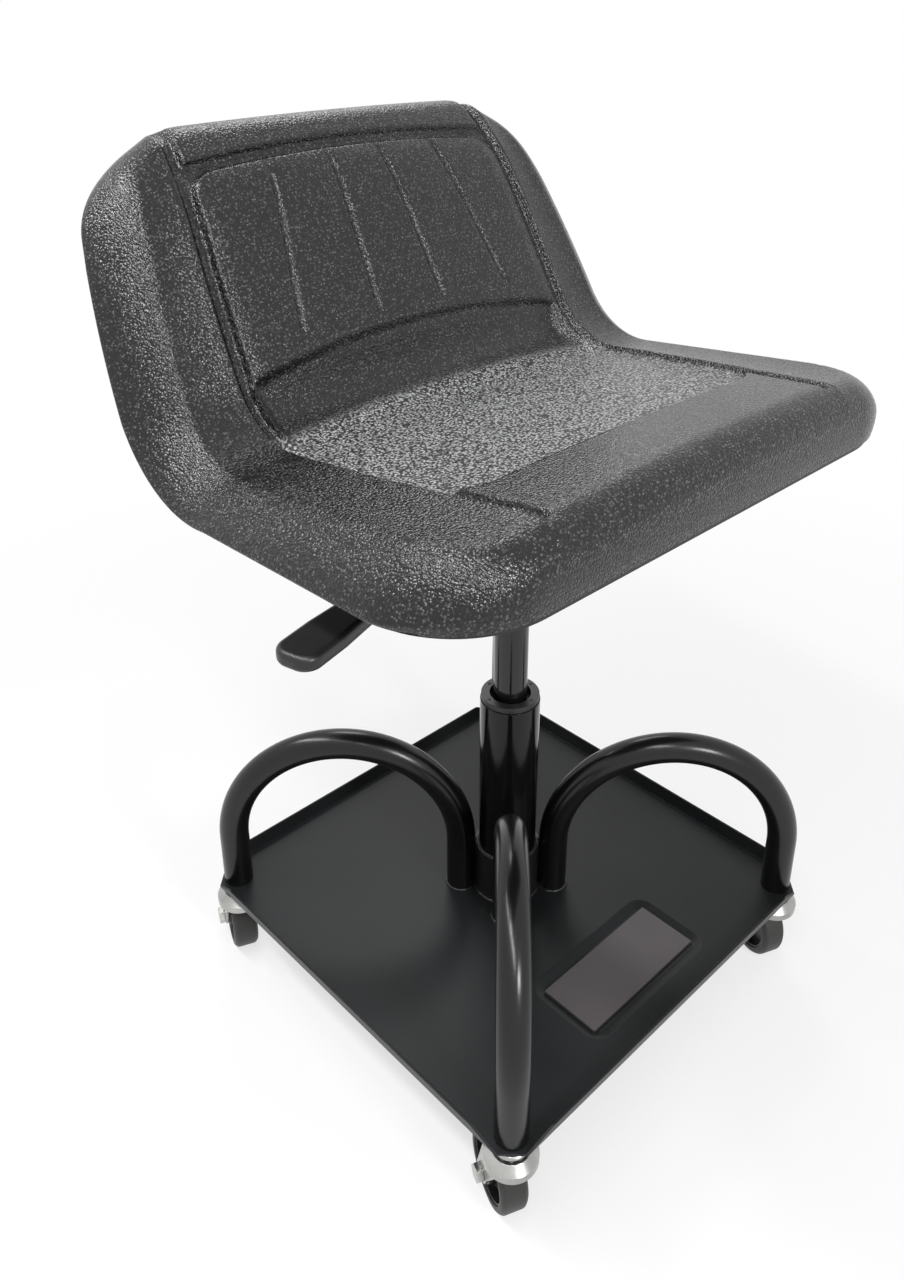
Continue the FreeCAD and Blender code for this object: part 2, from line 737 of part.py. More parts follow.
def gutter_place(run):
    return worked("gutter_line") + worked("gutter_bow") * math.sin(math.pi * run / profile_length())


def middle_runs(start, end):
    """Distances between two others where the profile gets a section, none close to those two."""
    flat, bend, back = worked("seat_flat"), bend_length(), worked("back_flat")
    curl = profile_length() - flat - bend - back
    runs = []
    foot = 0.0
    for length, steps in ((flat, FLAT_STEPS), (bend, BEND_STEPS), (back, BACK_STEPS), (curl, CURL_STEPS)):
        runs += [foot + length * (step + 1) / steps for step in range(steps)]
        foot += length
    room = worked("section_gap")
    return [run for run in runs if start + room < run < end - room]


def end_to_end(inset):
    """Distances of all sections of a whole seat form, close together at its rounded ends."""
    ends = [worked("lip_radius") * share for share in END_SHARES]
    front = [inset + end for end in ends] + [worked("front_corner_radius")]
    back = [profile_length() - inset - end for end in reversed(ends)]
    return front + middle_runs(front[-1], back[0]) + back


def on_section(run, across, height):
    """The point that lies across and above the profile, square to it."""
    spot, slope = on_profile(run)
    return spot + V(across, 0, 0) + V(0, -math.sin(slope), math.cos(slope)) * height


def form_wire(run, inset, low_extra, gutter):
    """Cross-section of skin or foam: crowned middle, gutter, dished shoulder, rolled edge, drawn-in side."""
    half, fall, depth = seat_breadth(run, inset)
    base, top, drop = -(depth + low_extra), -inset, worked("shoulder_fall")
    room = (top - fall - base) / (top - base)
    width = worked("gutter_width")
    outer = min(gutter_place(run) + width / 2, half - worked("gutter_edge_gap"))
    inner = outer - width
    spread = (half - outer) / (worked("seat_half_width") - inset - outer)
    shoulder = half - worked("shoulder_inset") * min(1.0, spread)
    roll = (depth - drop) * ROLL_SHARE
    low = half - worked("wall_draw")
    crest = -worked("gutter_depth") if gutter else 0.0
    quarter = math.sqrt(0.5)
    slack = DISH_SHARE * drop

    def at(across, height):
        return on_section(run, across, base + (height - base) * room)

    def arc(*spots):
        return Part.Arc(*[at(*spot) for spot in spots]).toShape()

    def line(start, end):
        return Part.LineSegment(at(*start), at(*end)).toShape()

    edges = [arc((-inner, top), (0, top + worked("panel_crown")), (inner, top))]
    sides = []
    for side in (1, -1):
        floor = top + crest + drop * PLAIN_CREST_SHARE
        gutter_arc = [(side * inner, top), (side * (inner + outer) / 2, floor), (side * outer, top)]
        fall_arc = [(side * outer, top), (side * (outer + shoulder) / 2, top - slack), (side * shoulder, top - drop)]
        roll_arc = [(side * shoulder, top - drop),
                    (side * (shoulder + (half - shoulder) * quarter), top - drop - roll * (1 - quarter)),
                    (side * half, top - drop - roll)]
        wall = [(side * half, top - drop - roll), (side * low, base)]
        sides.append((gutter_arc, fall_arc, roll_arc, wall))
    for curve in sides[0][:3]:
        edges.append(arc(*curve))
    edges.append(line(*sides[0][3]))
    edges.append(line((low, base), (-low, base)))
    edges.append(line(*reversed(sides[1][3])))
    for curve in reversed(sides[1][:3]):
        edges.append(arc(*reversed(curve)))
    return Part.Wire(edges)


def seat_form(inset, low_extra=0.0, gutter=False):
    wires = [form_wire(run, inset, low_extra, gutter) for run in end_to_end(inset)]
    return Part.makeLoft(wires, True, False)


def slab_wire(run, half, low, high, crown):
    left, right = on_section(run, -half, low), on_section(run, half, low)
    right_top, left_top = on_section(run, half, high), on_section(run, -half, high)
    if crown:
        floor = Part.Arc(left, on_section(run, 0, low + crown), right)
    else:
        floor = Part.LineSegment(left, right)
    edges = [floor, Part.LineSegment(right, right_top), Part.LineSegment(right_top, left_top),
             Part.LineSegment(left_top, left)]
    return Part.Wire([edge.toShape() for edge in edges])


def slab(runs, half_at, low_at, high_at, crown=0.0):
    """A plain sheet that follows the profile; its width and heights are functions of the run."""
    wires = [slab_wire(run, half_at(run), low_at(run), high_at(run), crown) for run in runs]
    return Part.makeLoft(wires, True, False)


def groove(spots, width, depth):
    """A round-bottomed tool along spots of (run, across) that lie on the seat's upper face."""
    wires = []
    for index, (run, across) in enumerate(spots):
        before, after = spots[max(index - 1, 0)], spots[min(index + 1, len(spots) - 1)]
        ahead = on_section(after[0], after[1], 0) - on_section(before[0], before[1], 0)
        slope = on_profile(run)[1]
        normal = V(0, -math.sin(slope), math.cos(slope))
        sideways = normal.cross(ahead).normalize() * (width / 2)
        crown = worked("panel_crown") * (1 - (across / gutter_place(run)) ** 2)
        middle = on_section(run, across, crown)
        left, right = middle + sideways + normal * depth, middle - sideways + normal * depth
        bottom = middle - normal * depth
        wires.append(Part.Wire([Part.Arc(left, bottom, right).toShape(), Part.LineSegment(right, left).toShape()]))
    return Part.makeLoft(wires, True, True)


def panel_tools():
    """What the moulding leaves lower: the panel up to the arched edge of the back pad, and the grooves."""
    depth, reach = worked("panel_recess"), worked("overrun")
    start, end, rise = worked("recess_start"), worked("recess_end"), worked("recess_arch")
    edge = worked("gutter_width / 6")

    def panel_half(run):
        return gutter_place(run) - edge

    def low(run):
        return -depth

    def high(run):
        return 2 * reach

    top = end + rise
    main = slab([start] + middle_runs(start, top) + [top], panel_half, low, high, worked("panel_crown"))
    chord = panel_half(end)
    radius = (chord ** 2 + rise ** 2) / (2 * rise)
    slope = on_profile(end)[1]
    upwards, normal = V(0, math.cos(slope), math.sin(slope)), V(0, -math.sin(slope), math.cos(slope))
    disc = Part.makeCylinder(radius, 4 * reach, on_section(top, 0, 0) - upwards * radius - normal * (2 * reach), normal)
    beyond = Part.makeBox(2 * (chord + reach), rise + reach, 4 * reach)
    beyond.Placement = FreeCAD.Placement(on_section(end, -chord - reach, -2 * reach),
                                         FreeCAD.Rotation(V(1, 0, 0), math.degrees(slope)))
    tools = [main.cut(beyond.cut(disc))]
    run = worked("channel_run")
    side = gutter_place(run) - edge
    tools.append(groove([(run, side * share) for share in CHANNEL_SHARES],
                        worked("channel_width"), worked("channel_depth")))
    for kind in ("inner", "outer"):
        bottom, top = worked("flute_%s_low" % kind), worked("flute_%s_high" % kind)
        first, last = worked("flute_low"), worked("flute_high")
        stops = [first] + middle_runs(first, last) + [last]
        for way in (1, -1):
            spots = [(stop, way * (bottom + (top - bottom) * share_along(stop, first, last))) for stop in stops]
            tools.append(groove(spots, worked("flute_width"), worked("flute_depth")))
    return tools


def make_seat():
    skin, play, rise = worked("skin"), worked("play"), worked("pan_rise")
    overrun, sheet_metal, lip = worked("overrun"), worked("pan_sheet"), worked("pan_lip")
    shell = seat_form(0.0, gutter=True).cut(seat_form(skin, overrun))
    keep("seat_cover", feature("SeatCover", shell.cut(panel_tools())))
    keep("seat_foam", feature("SeatFoam", seat_form(skin + play, -rise)))

    def pan_solid(inset, top_drop, bottom_drop):
        def half(run):
            return seat_breadth(run, inset)[0] - worked("wall_draw") - play

        def low(run):
            return -seat_breadth(run, inset)[2] - bottom_drop

        def high(run):
            return rise - seat_breadth(run, inset)[2] - top_drop
        return slab(end_to_end(inset), half, low, high)

    outside = pan_solid(skin + play, play, lip)
    inside = pan_solid(skin + play + sheet_metal, play + sheet_metal, lip + overrun)
    above_plate = pan_solid(0.0, -2 * overrun - worked("front_depth"), sheet_metal / 2 + play - rise)
    low, half_x, half_y = worked("plate_top"), worked("pad_length / 2"), worked("pad_width / 2")
    tall = worked("front_depth")
    pad = Part.makeBox(2 * half_x, 2 * half_y, tall, V(-half_x, -half_y, low))
    dish = Part.makeBox(2 * (half_x - sheet_metal), 2 * (half_y - sheet_metal), tall,
                        V(sheet_metal - half_x, sheet_metal - half_y, low + sheet_metal))
    holes = []
    radius = worked("bolt_radius + snug")
    for x, y in BOLT_PLACES:
        holes.append(Part.makeCylinder(radius, tall, V(worked(x), worked(y), low - overrun)))
    pad_walls = pad.cut(above_plate).cut(dish)
    pan = outside.cut(inside).cut(dish).fuse(pad_walls).cut(holes)
    keep("seat_pan", feature("SeatPan", pan))


# Under the seat: a pressed box with a plate on top, a socket for the lift tube's cone, bolts and nuts

size("plate_length", 150)
size("plate_width", 130)
size("plate_sheet", 3)
size("plate_corner", 12)
size("case_length", 96)
size("case_width", 80)
size("case_foot", 452)
size("socket_radius", 20)
size("socket_foot", 408)
size("socket_height", 47)
size("bolt_radius", 4)
size("bolt_across", 60)
size("bolt_along", 45)
size("bolt_flats", 13)
size("bolt_head", 5.3)
size("washer_radius", 8)
size("washer_sheet", 1.5)
size("nut_height", 5)
size("bolt_stand", 1)
size("slot_width", 18)
size("slot_height", 20)

BOLT_PLACES = (("bolt_across", "bolt_along"), ("-bolt_across", "bolt_along"),
               ("-bolt_across", "-bolt_along"), ("bolt_across", "-bolt_along"))


def rounded_edges(body, name, radius, chosen):
    """Round those edges of a body's last form that a test on (edge, whether it stands upright) chooses."""
    doc.recompute()
    last = body.Tip
    picked = []
    for index, edge in enumerate(last.Shape.Edges):
        upright = abs(edge.tangentAt(edge.FirstParameter).z) > math.sqrt(0.5)
        if chosen(edge, upright):
            picked.append("Edge%d" % (index + 1))
    rounded = body.newObject("PartDesign::Fillet", name)
    rounded.Base = (last, picked)
    bind(rounded, Radius=radius)
    body.Tip = rounded


def rounded_plate(name, length, width, height, corner, middle):
    """A plate with rounded corners, its middle at the given point."""
    half_x, half_y = "(%s)/2" % length, "(%s)/2" % width
    body = padded(name, "XY_Plane", [("-" + half_x, "-" + half_y), (half_x, "-" + half_y),
                                     (half_x, half_y), ("-" + half_x, half_y)], height, middle)
    rounded_edges(body, "Rounded", corner, lambda edge, upright: upright)
    return body


def make_bracket():
    plate = rounded_plate("FlangePlate", "plate_length", "plate_width", "plate_sheet", "plate_corner",
                          ("0", "0", "plate_top - plate_sheet/2"))
    case = block("Case", "case_length", "case_width", "plate_top - plate_sheet - case_foot", ("0", "0", "case_foot"))
    hollow = block("CaseHollow", "case_length - 2*plate_sheet", "case_width - 2*plate_sheet",
                   "plate_top - 2*plate_sheet - case_foot", ("0", "0", "case_foot + plate_sheet"))
    socket_hole = cylinder("SocketHole", "socket_radius + snug", "2*overrun", ("0", "0", "case_foot - overrun/2"))
    slot = block("LeverSlot", "4*overrun", "slot_width", "slot_height",
                 ("-case_length/2", "-case_length/2 * tan(lever_forward * 1deg)", LEVER_LEVEL + " - slot_height/2"))
    tools = [hollow, socket_hole, slot]
    for index, (x, y) in enumerate(BOLT_PLACES):
        tools.append(cylinder("PlateHole_%d" % index, "bolt_radius + snug", "plate_sheet + 2*overrun",
                              (x, y, "plate_top - plate_sheet - overrun")))
    keep("lift_bracket", cut("LiftBracket", fuse("BracketWhole", plate, case), *tools))


def make_socket():
    cone_foot = "lift_tube_foot + lift_tube_length - cone_length"
    top = "socket_foot + socket_height"
    tip = "lift_tube_radius + slip - cone_drop * (%s - (%s)) / cone_length" % (top, cone_foot)
    keep("taper_socket", turned("TaperSocket", [
        ("lift_tube_radius + slip", "socket_foot"),
        ("socket_radius", "socket_foot"),
        ("socket_radius", top),
        (tip, top),
        ("lift_tube_radius + slip", cone_foot)]))


def make_seat_fasteners():
    bolts, washers, nuts = [], [], []
    under = "plate_top - plate_sheet"
    top = "plate_top + pan_sheet + nut_height"
    for index, (x, y) in enumerate(BOLT_PLACES):
        head = hexagon("BoltHead_%d" % index, "bolt_flats", "bolt_head", (x, y, under + " - washer_sheet - bolt_head"))
        shank = cylinder("BoltShank_%d" % index, "bolt_radius", top + " + bolt_stand - (%s - washer_sheet)" % under,
                         (x, y, under + " - washer_sheet"))
        bolts.append(fuse("SeatBolt_%d" % index, head, shank))
        washer = cylinder("WasherDisc_%d" % index, "washer_radius", "washer_sheet", (x, y, under + " - washer_sheet"))
        hole = cylinder("WasherHole_%d" % index, "bolt_radius + snug", "washer_sheet + 2*overrun",
                        (x, y, under + " - washer_sheet - overrun"))
        washers.append(cut("Washer_%d" % index, washer, hole))
        blank = hexagon("NutBlank_%d" % index, "bolt_flats", "nut_height", (x, y, "plate_top + pan_sheet"))
        thread = cylinder("NutThread_%d" % index, "bolt_radius", "nut_height + 2*overrun",
                          (x, y, "plate_top + pan_sheet - overrun"))
        nuts.append(cut("WeldNut_%d" % index, blank, thread))
    keep("seat_bolts", group("SeatBolts", *bolts))
    keep("seat_washers", group("SeatWashers", *washers))
    keep("seat_weld_nuts", group("SeatWeldNuts", *nuts))


# Height lever: a rod on a pivot in the box, pressing the release pin, with a moulded paddle grip

size("lever_forward", 14.5)    # degrees that the lever points forward of the sitter's right
size("lever_radius", 4)
size("lever_pivot", 34)
size("lever_past_pin", 8)
size("lever_end", 240)
size("eye_radius", 7)
size("eye_length", 13)
size("pivot_radius", 2.5)
size("pivot_head_radius", 4.5)
size("pivot_head", 1.5)
size("ear_sheet", 3)
size("ear_half_length", 7)
size("ear_rise", 7)
size("ear_foot_half_length", 9)
size("grip_start", 165)
size("grip_end", 266)
size("grip_root_half", 11)
size("grip_half", 15.5)
size("grip_thickness", 11)
size("grip_nose", 12)
size("grip_rounding", 4)

LEVER_LEVEL = "(lift_tube_foot + lift_tube_length + pin_stand + play + lever_radius)"


def towards_lever(label, name, *solids):
    keep(label, carried(name, 180 + worked("lever_forward"), "0", 0, *solids))


def make_lever():
    across = (V(1, 0, 0), 90)
    along = (V(0, 1, 0), 90)
    rod = cylinder("LeverBar", "lever_radius", "lever_end + lever_past_pin", ("-lever_past_pin", "0", LEVER_LEVEL), along)
    eye = cylinder("LeverEye", "eye_radius", "eye_length", ("lever_pivot", "eye_length/2", LEVER_LEVEL), across)
    bore = cylinder("LeverEyeBore", "pivot_radius + slip", "eye_length + 2*overrun",
                    ("lever_pivot", "eye_length/2 + overrun", LEVER_LEVEL), across)
    towards_lever("lever_rod", "LeverRodSet", cut("LeverRod", fuse("LeverWhole", rod, eye), bore))

    body = padded("Grip", "XY_Plane", [
        ("grip_start", "-grip_root_half"), ("grip_end - 3*grip_nose", "-grip_half"), ("grip_end", "-grip_half"),
        ("grip_end", "grip_half"), ("grip_end - 3*grip_nose", "grip_half"), ("grip_start", "grip_root_half")],
        "grip_thickness", ("0", "0", LEVER_LEVEL))
    tip = worked("grip_end - grip_nose / 2")
    rounded_edges(body, "Nose", "grip_nose", lambda edge, upright: upright and edge.BoundBox.XMin > tip)
    rounded_edges(body, "Rounded", "grip_rounding", lambda edge, upright: not upright)
    socket = cylinder("GripSocket", "lever_radius", "lever_end - grip_start + overrun",
                      ("grip_start - overrun", "0", LEVER_LEVEL), along)
    towards_lever("lever_grip", "LeverGripSet", cut("GripWhole", body, socket))

    ears = []
    floor = "case_foot + plate_sheet"
    half = "(eye_length/2 + play)"
    for name, side in (("Left", half), ("Right", "-(%s + ear_sheet)" % half)):
        ears.append(box("Ear" + name, "2*ear_half_length", "ear_sheet", "%s + ear_rise - (%s)" % (LEVER_LEVEL, floor),
                        ("lever_pivot - ear_half_length", side, floor)))
    foot = box("EarFoot", "2*ear_foot_half_length", "eye_length + 2*play + 2*ear_sheet", "ear_sheet",
               ("lever_pivot - ear_foot_half_length", "-(%s + ear_sheet)" % half, floor))
    pin_hole = cylinder("EarHole", "pivot_radius", "2*(%s + ear_sheet + overrun)" % half,
                        ("lever_pivot", "%s + ear_sheet + overrun" % half, LEVER_LEVEL), across)
    towards_lever("lever_bracket", "LeverBracketSet", cut("LeverBracket", fuse("BracketEars", foot, *ears), pin_hole))

    pin = cylinder("PivotShank", "pivot_radius", "2*(%s + ear_sheet)" % half,
                   ("lever_pivot", "%s + ear_sheet" % half, LEVER_LEVEL), across)
    heads = []
    for name, spot in (("Near", "%s + ear_sheet + pivot_head" % half), ("Far", "-(%s + ear_sheet)" % half)):
        heads.append(cylinder("PivotHead" + name, "pivot_head_radius", "pivot_head",
                              ("lever_pivot", spot, LEVER_LEVEL), across))
    towards_lever("lever_pivot_pin", "PivotPinSet", fuse("PivotPin", pin, *heads))


make_seat()
make_bracket()
make_socket()
make_seat_fasteners()
make_lever()


# Check every object, then write every piece

doc.recompute()
faults = []
for thing in doc.Objects:
    if "Invalid" in thing.State or "Error" in thing.State:
        faults.append("%s is %s" % (thing.Label, thing.State))
for piece in PARTS:
    if piece.Shape.isNull() or not piece.Shape.isValid() or piece.Shape.Volume <= 0:
        faults.append("%s has no sound shape" % piece.Label)
if faults:
    raise RuntimeError("; ".join(faults))
os.makedirs("parts", exist_ok=True)
for piece in PARTS:
    piece.Shape.exportStep("parts/%s.step" % piece.Label)
print("pieces written:", len(PARTS))
for piece in PARTS:
    print(piece.Label, len(piece.Shape.Solids), round(piece.Shape.Volume / 1000, 2))
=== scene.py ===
"""Mechanic's creeper seat: a tractor-style seat on a gas lift, over a square tool tray on four casters."""
from math import atan2, cos, hypot, pi, radians, sin, sqrt

import bmesh
import bpy
from mathutils import Matrix, Vector


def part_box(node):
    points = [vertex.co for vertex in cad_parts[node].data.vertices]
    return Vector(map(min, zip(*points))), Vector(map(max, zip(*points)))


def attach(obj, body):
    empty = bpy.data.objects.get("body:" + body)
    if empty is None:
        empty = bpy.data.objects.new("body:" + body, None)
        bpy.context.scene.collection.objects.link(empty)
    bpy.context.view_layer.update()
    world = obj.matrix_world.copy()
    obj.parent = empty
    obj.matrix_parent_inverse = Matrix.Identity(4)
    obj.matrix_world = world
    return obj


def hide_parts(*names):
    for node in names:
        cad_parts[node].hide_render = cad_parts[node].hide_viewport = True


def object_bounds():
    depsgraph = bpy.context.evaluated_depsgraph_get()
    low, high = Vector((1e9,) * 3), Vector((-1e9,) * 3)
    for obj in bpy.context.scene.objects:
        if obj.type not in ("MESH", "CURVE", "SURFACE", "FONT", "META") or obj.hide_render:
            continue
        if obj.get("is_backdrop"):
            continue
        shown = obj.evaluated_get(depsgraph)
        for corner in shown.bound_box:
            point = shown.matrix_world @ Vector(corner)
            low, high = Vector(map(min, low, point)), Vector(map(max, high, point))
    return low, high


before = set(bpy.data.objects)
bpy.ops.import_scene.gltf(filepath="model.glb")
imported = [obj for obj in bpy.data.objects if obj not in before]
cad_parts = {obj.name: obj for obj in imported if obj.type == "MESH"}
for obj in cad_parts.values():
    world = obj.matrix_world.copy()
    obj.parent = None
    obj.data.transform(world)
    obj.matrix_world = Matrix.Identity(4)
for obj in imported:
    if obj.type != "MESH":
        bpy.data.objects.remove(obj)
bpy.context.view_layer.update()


# Studio
# A white floor that runs into a white surround, a long strip lamp overhead on the camera's left,
# and two small softboxes: one before the seat's front edge, one high behind its back.

CAMERA_PLACE = (-0.5574, -0.5234, 0.8370)
CAMERA_HEADING, CAMERA_TILT, CAMERA_ROLL = radians(-44.26), radians(65.40), radians(0.2)

camera = bpy.data.objects.new("studio_camera", bpy.data.cameras.new("studio_camera"))
bpy.context.collection.objects.link(camera)
camera.data.lens = 31.30
camera.data.shift_x = -0.0141
camera.data.shift_y = -0.125
camera.matrix_world = (Matrix.Translation(CAMERA_PLACE) @ Matrix.Rotation(CAMERA_HEADING, 4, "Z")
                       @ Matrix.Rotation(CAMERA_TILT, 4, "X") @ Matrix.Rotation(CAMERA_ROLL, 4, "Z"))
bpy.context.scene.camera = camera


def feed(tree, value, slot):
    """Give an input a number, a colour or another node's output."""
    if isinstance(value, bpy.types.NodeSocket):
        tree.links.new(value, slot)
    else:
        slot.default_value = value


def worked(tree, operation, *values):
    """The result of one sum on numbers and other nodes' outputs."""
    step = tree.nodes.new("ShaderNodeMath")
    step.operation = operation
    for value, slot in zip(values, step.inputs):
        feed(tree, value, slot)
    return step.outputs["Value"]


def ranged(tree, value, low, high, start=0.0, end=1.0, curve="LINEAR"):
    """A value that runs from start to end, brought to run from low to high."""
    step = tree.nodes.new("ShaderNodeMapRange")
    step.interpolation_type = curve
    for name, number in (("From Min", start), ("From Max", end), ("To Min", low), ("To Max", high)):
        step.inputs[name].default_value = number
    tree.links.new(value, step.inputs["Value"])
    return step.outputs["Result"]


def seen_white(tree):
    """One for rays that show the surround: straight from the camera, mirrored or through glass."""
    path = tree.nodes.new("ShaderNodeLightPath")
    seen = worked(tree, "MAXIMUM", path.outputs["Is Camera Ray"], path.outputs["Is Glossy Ray"])
    return worked(tree, "MAXIMUM", seen, path.outputs["Is Transmission Ray"])


SURROUND_LIGHT = 0.18

world = bpy.data.worlds.new("studio_world")
world.use_nodes = True
bpy.context.scene.world = world
surround = world.node_tree.nodes["Background"]
surround.inputs["Color"].default_value = (1, 1, 1, 1)
strength = ranged(world.node_tree, seen_white(world.node_tree), SURROUND_LIGHT, 1.0)
world.node_tree.links.new(strength, surround.inputs["Strength"])


def mixed(tree, kind, share, first, second):
    """Two numbers or two colours mixed by a share."""
    step = tree.nodes.new("ShaderNodeMix")
    step.data_type = kind
    for name, value in (("Factor", share), ("A", first), ("B", second)):
        feed(tree, value, step.inputs[name])
    return step.outputs["Result"]


def new_finish(name):
    """A material, its node tree and its shader."""
    finish = bpy.data.materials.new(name)
    finish.use_nodes = True
    return finish, finish.node_tree, finish.node_tree.nodes["Principled BSDF"]


def stood(name, shape, finish):
    """An object in the scene, made from a bmesh and given one finish."""
    piece = bpy.data.objects.new(name, bpy.data.meshes.new(name))
    shape.to_mesh(piece.data)
    shape.free()
    piece.data.materials.append(finish)
    bpy.context.collection.objects.link(piece)
    return piece


FLOOR_HALF, FLOOR_GREY = 60, 0.85
SHADED_PART, SHADED_NEAR, SHADED_FAR = 0.30, 0.35, 1.3

paint, tree, shader = new_finish("studio_floor")
shader.inputs["Roughness"].default_value = 0.9
shader.inputs["Specular IOR Level"].default_value = 0.0
shader.inputs["Emission Color"].default_value = (1, 1, 1, 1)
away = tree.nodes.new("ShaderNodeVectorMath")
away.operation = "LENGTH"
tree.links.new(tree.nodes.new("ShaderNodeTexCoord").outputs["Object"], away.inputs[0])
shaded = ranged(tree, away.outputs["Value"], SHADED_PART, 0.0, SHADED_NEAR, SHADED_FAR, "SMOOTHSTEP")
seen = seen_white(tree)
tree.links.new(mixed(tree, "FLOAT", seen, FLOOR_GREY, shaded), shader.inputs["Base Color"])
glow = worked(tree, "SUBTRACT", 1.0, shaded)
tree.links.new(worked(tree, "MULTIPLY", glow, seen), shader.inputs["Emission Strength"])
sheet = bmesh.new()
bmesh.ops.create_grid(sheet, x_segments=2, y_segments=2, size=FLOOR_HALF)
floor = stood("studio_floor", sheet, paint)
floor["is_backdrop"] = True

for name, place, aim, wide, high, watts in (
        ("lamp_strip", (-0.95, 0.0, 2.05), (0, -0.07, 0.45), 3.0, 0.14, 42),
        ("lamp_front", (-0.36, -2.0, 1.40), (0, 0, 0.45), 0.45, 0.45, 22),
        ("lamp_back", (1.10, 1.45, 2.30), (0, 0, 0.5), 0.90, 0.70, 13)):
    lamp = bpy.data.lights.new(name, "AREA")
    lamp.shape = "RECTANGLE"
    lamp.size, lamp.size_y, lamp.energy = wide, high, watts
    stand = bpy.data.objects.new(name, lamp)
    bpy.context.collection.objects.link(stand)
    stand.location = place
    stand.rotation_euler = (Vector(aim) - Vector(place)).to_track_quat("-Z", "Y").to_euler()


# Tray
# Folded steel sheet with a flared rim, clipped corners and a pressed recess, powder coated in matt black.
# Its bends and its recess are pressed at a slant, so even its shallow edges are broken softly by the coat.

MM = 0.001
MERGE_GAP, FLAT_ANGLE, SHARP_ANGLE, FACE_WEIGHT = 0.00002, radians(0.5), radians(40), 80
PRESSED_EDGE = 14


def clouded(tree, where, scale, detail=2.0):
    """A soft noise over the object's own space."""
    cloud = tree.nodes.new("ShaderNodeTexNoise")
    cloud.inputs["Scale"].default_value = scale
    cloud.inputs["Detail"].default_value = detail
    tree.links.new(where, cloud.inputs["Vector"])
    return cloud


def bumped(tree, shader, height, distance, invert=False):
    """Let a height tilt the shader's surface, by a distance in metres where the height is one."""
    swell = tree.nodes.new("ShaderNodeBump")
    swell.invert = invert
    swell.inputs["Strength"].default_value = 1.0
    swell.inputs["Distance"].default_value = distance
    tree.links.new(height, swell.inputs["Height"])
    tree.links.new(swell.outputs["Normal"], shader.inputs["Normal"])


def coated(name, dark, light, rough, grain=1400.0, bump=0.04, metal=0.0, patch=9.0, sheen=0.5):
    """A coat whose colour and gloss wander in soft patches, over a fine even grain."""
    coat, tree, shader = new_finish(name)
    shader.inputs["Metallic"].default_value = metal
    shader.inputs["Specular IOR Level"].default_value = sheen
    where = tree.nodes.new("ShaderNodeTexCoord").outputs["Object"]
    patches = clouded(tree, where, patch, 5).outputs["Fac"]
    ramp = tree.nodes.new("ShaderNodeValToRGB")
    for stop, position, colour in zip(ramp.color_ramp.elements, (0.3, 0.7), (dark, light)):
        stop.position = position
        stop.color = (*colour, 1)
    tree.links.new(patches, ramp.inputs["Fac"])
    tree.links.new(ramp.outputs["Color"], shader.inputs["Base Color"])
    tree.links.new(ranged(tree, patches, rough * 0.85, rough * 1.15), shader.inputs["Roughness"])
    bumped(tree, shader, clouded(tree, where, grain).outputs["Fac"], bump * MM)
    return coat


def softened(name, body, finish, width, angle=28):
    """A new piece on a CAD node's own shape, with its hard edges broken as pressing and paint leave them."""
    shape = bmesh.new()
    shape.from_mesh(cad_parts[name].data)
    bmesh.ops.remove_doubles(shape, verts=shape.verts, dist=MERGE_GAP)
    bmesh.ops.dissolve_limit(shape, angle_limit=FLAT_ANGLE, verts=shape.verts, edges=shape.edges)
    hard = [edge for edge in shape.edges if edge.is_manifold and edge.calc_face_angle(0) > radians(angle)]
    bmesh.ops.bevel(shape, geom=hard, offset=width * MM, offset_type="OFFSET", affect="EDGES", segments=2,
                    profile=0.5, material=-1, clamp_overlap=True)
    for face in shape.faces:
        face.smooth = True
    piece = stood(name + "_finished", shape, finish)
    piece.data.set_sharp_from_angle(angle=SHARP_ANGLE)
    flats = piece.modifiers.new("flats", "WEIGHTED_NORMAL")
    flats.weight = FACE_WEIGHT
    flats.keep_sharp = True
    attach(piece, body)
    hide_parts(name)


tray_coat = coated("tray_coat", (0.008, 0.009, 0.0095), (0.016, 0.017, 0.018), 0.40,
                   grain=1500, bump=0.05, sheen=0.20)
softened("tray", "base", tray_coat, 0.6, angle=PRESSED_EDGE)


# Magnet pad
# A thin sheet of grey-brown magnetic rubber, cut to the tray's recess and laid in it.
# It holds itself on the steel, and small screws on itself.

magnet_rubber = coated("magnet_rubber", (0.060, 0.052, 0.054), (0.082, 0.072, 0.074), 0.5,
                       grain=900, bump=0.01)
softened("magnet_pad", "base", magnet_rubber, 0.4)


# Column and hub
# The gas lift's outer column is a gloss black steel tube, held in a short collar of wider steel tube.
# Rippled beads of weld run round the collar at its top and its foot, and round each hoop's inner foot.

CORNERS = {"front_left": (1, -1), "rear_left": (1, 1), "rear_right": (-1, 1), "front_right": (-1, -1)}
HOOP_RADIUS = 12.7
BEAD, FOOT_BEAD = 1.3, 1.5
RIPPLE, RIPPLES_PER_MM = 0.16, 0.85

gloss_black = coated("column_enamel", (0.003, 0.003, 0.003), (0.006, 0.006, 0.006), 0.12,
                     grain=500, bump=0.01, sheen=0.28)
softened("outer_column", "base", gloss_black, 0.5)
hub_coat = coated("hub_coat", (0.008, 0.008, 0.009), (0.013, 0.013, 0.014), 0.34, grain=1300, bump=0.05)
softened("hub_sleeve", "base", hub_coat, 0.6)


